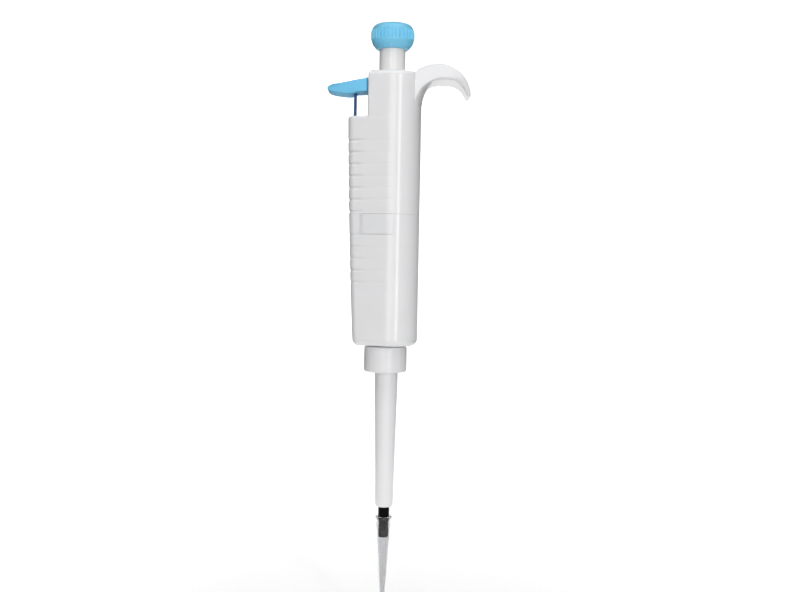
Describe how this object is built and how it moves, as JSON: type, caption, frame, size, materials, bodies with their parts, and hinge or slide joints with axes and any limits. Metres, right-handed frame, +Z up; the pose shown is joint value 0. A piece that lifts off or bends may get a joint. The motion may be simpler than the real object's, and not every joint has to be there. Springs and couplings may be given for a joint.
{
  "type": "micropipette",
  "caption": "Hand-held air-displacement pipette with a press and turn button, finger hook, side ejector lever, slim shaft and a disposable tip.",
  "frame": {"origin": "middle of the flat land on the underside of the finger hook, where the pipette rests on a finger or a stand's peg", "axes": "+Z up along the plunger axis towards the button, +X from the handle out to the hook's nose, +Y across the handle"},
  "size_m": [0.0653, 0.0244, 0.2741],
  "materials": {
    "white_shell": "satin white moulded plastic with a very fine grain",
    "white_panel": "smooth white insert, slightly greyer than the shells",
    "white_neck": "smooth warm white plastic",
    "white_sleeve": "satin white moulded plastic",
    "white_shaft": "white moulded plastic",
    "blue_button": "satin light blue plastic",
    "blue_lever": "satin light blue plastic",
    "deep_blue": "deeper blue plastic",
    "black_cone": "smooth black plastic",
    "clear_tip": "translucent polypropylene",
    "clear_window": "clear polycarbonate",
    "counter_black": null,
    "acetal": "ivory acetal",
    "ptfe": "white PTFE",
    "seal_rubber": "black rubber",
    "steel": "turned stainless steel",
    "spring_steel": "drawn spring wire",
    "brass": "turned brass"
  },
  "bodies": {
    "handle": {"handle_upper_shell": "white_shell", "handle_lower_shell": "white_shell", "finger_hook": "white_shell", "grip_label": "white_panel", "volume_window": "clear_window", "neck_bush": "acetal", "counter_frame": "acetal", "pinion_pin": "steel", "spring_cup": "steel", "blow_out_spring": "spring_steel", "shaft": "white_shaft", "piston_seal": "ptfe", "piston_o_ring": "seal_rubber", "seal_retainer": "steel", "tip_cone": "black_cone", "ejector_spring": "spring_steel"},
    "volume_screw": {"lead_screw": "brass", "counter_ring_low": "counter_black"},
    "middle_counter": {"counter_ring_middle": "counter_black"},
    "high_counter": {"counter_ring_high": "counter_black"},
    "low_pinion": {"transfer_pinion_low": "acetal"},
    "high_pinion": {"transfer_pinion_high": "acetal"},
    "volume_stop": {"volume_stop_nut": "acetal"},
    "blow_out_stop": {"blow_out_plate": "steel", "primary_spring": "spring_steel"},
    "plunger": {"piston_head": "acetal", "piston": "steel"},
    "button": {"push_button": "blue_button", "button_cap": "blue_button", "plunger_sleeve": "white_neck", "push_rod": "steel"},
    "ejector": {"ejector_lever": "blue_lever", "ejector_strip": "deep_blue", "ejector_bar": "steel", "ejector_collar": "white_sleeve", "ejector_sleeve": "white_sleeve"},
    "tip": {"pipette_tip": "clear_tip"}
  },
  "joints": [
    {"name": "blow_out_press", "type": "slide", "parent": "handle", "child": "blow_out_stop", "axis": [0, 0, -1], "range_m": [0, 0.0024], "stiffness_N_per_m": 3000, "springref_m": -0.003, "deforming": ["blow_out_spring"]},
    {"name": "plunger_press", "type": "slide", "parent": "blow_out_stop", "child": "plunger", "axis": [0, 0, -1], "range_m": [0, 0.008], "stiffness_N_per_m": 500, "springref_m": -0.004, "deforming": ["primary_spring"]},
    {"name": "volume_turn", "type": "hinge", "parent": "plunger", "child": "button", "pos_m": [-0.0241, 0, 0.02], "axis": [0, 0, 1], "range_deg": [-6480, 0]},
    {"name": "screw_turn", "type": "hinge", "parent": "handle", "child": "volume_screw", "pos_m": [-0.0241, 0, -0.047], "axis": [0, 0, 1], "range_deg": [-6480, 0]},
    {"name": "middle_counter_turn", "type": "hinge", "parent": "handle", "child": "middle_counter", "pos_m": [-0.0241, 0, -0.037], "axis": [0, 0, 1], "range_deg": [-648, 0]},
    {"name": "high_counter_turn", "type": "hinge", "parent": "handle", "child": "high_counter", "pos_m": [-0.0241, 0, -0.031], "axis": [0, 0, 1], "range_deg": [-64.8, 0]},
    {"name": "low_pinion_turn", "type": "hinge", "parent": "handle", "child": "low_pinion", "pos_m": [-0.03315, 0, -0.0403], "axis": [0, 0, 1], "range_deg": [0, 1620]},
    {"name": "high_pinion_turn", "type": "hinge", "parent": "handle", "child": "high_pinion", "pos_m": [-0.03315, 0, -0.0337], "axis": [0, 0, 1], "range_deg": [0, 162]},
    {"name": "volume_stop_travel", "type": "slide", "parent": "handle", "child": "volume_stop", "axis": [0, 0, -1], "range_m": [0, 0.0072]},
    {"name": "eject_press", "type": "slide", "parent": "handle", "child": "ejector", "axis": [0, 0, -1], "range_m": [0, 0.009], "stiffness_N_per_m": 300, "springref_m": -0.006, "deforming": ["ejector_spring"]},
    {"name": "tip_release", "type": "slide", "parent": "handle", "child": "tip", "axis": [0, 0, -1], "range_m": [0, 0.0144]}
  ],
  "couplings": [
    {"joint": "screw_turn", "follows": "volume_turn", "ratio": 1},
    {"joint": "middle_counter_turn", "follows": "volume_turn", "ratio": 0.1},
    {"joint": "high_counter_turn", "follows": "volume_turn", "ratio": 0.01},
    {"joint": "low_pinion_turn", "follows": "volume_turn", "ratio": -0.25},
    {"joint": "high_pinion_turn", "follows": "volume_turn", "ratio": -0.025},
    {"joint": "volume_stop_travel", "follows": "volume_turn", "m_per_rad": -0.000063662},
    {"joint": "tip_release", "follows": "eject_press", "ratio": 1.6}
  ]
}
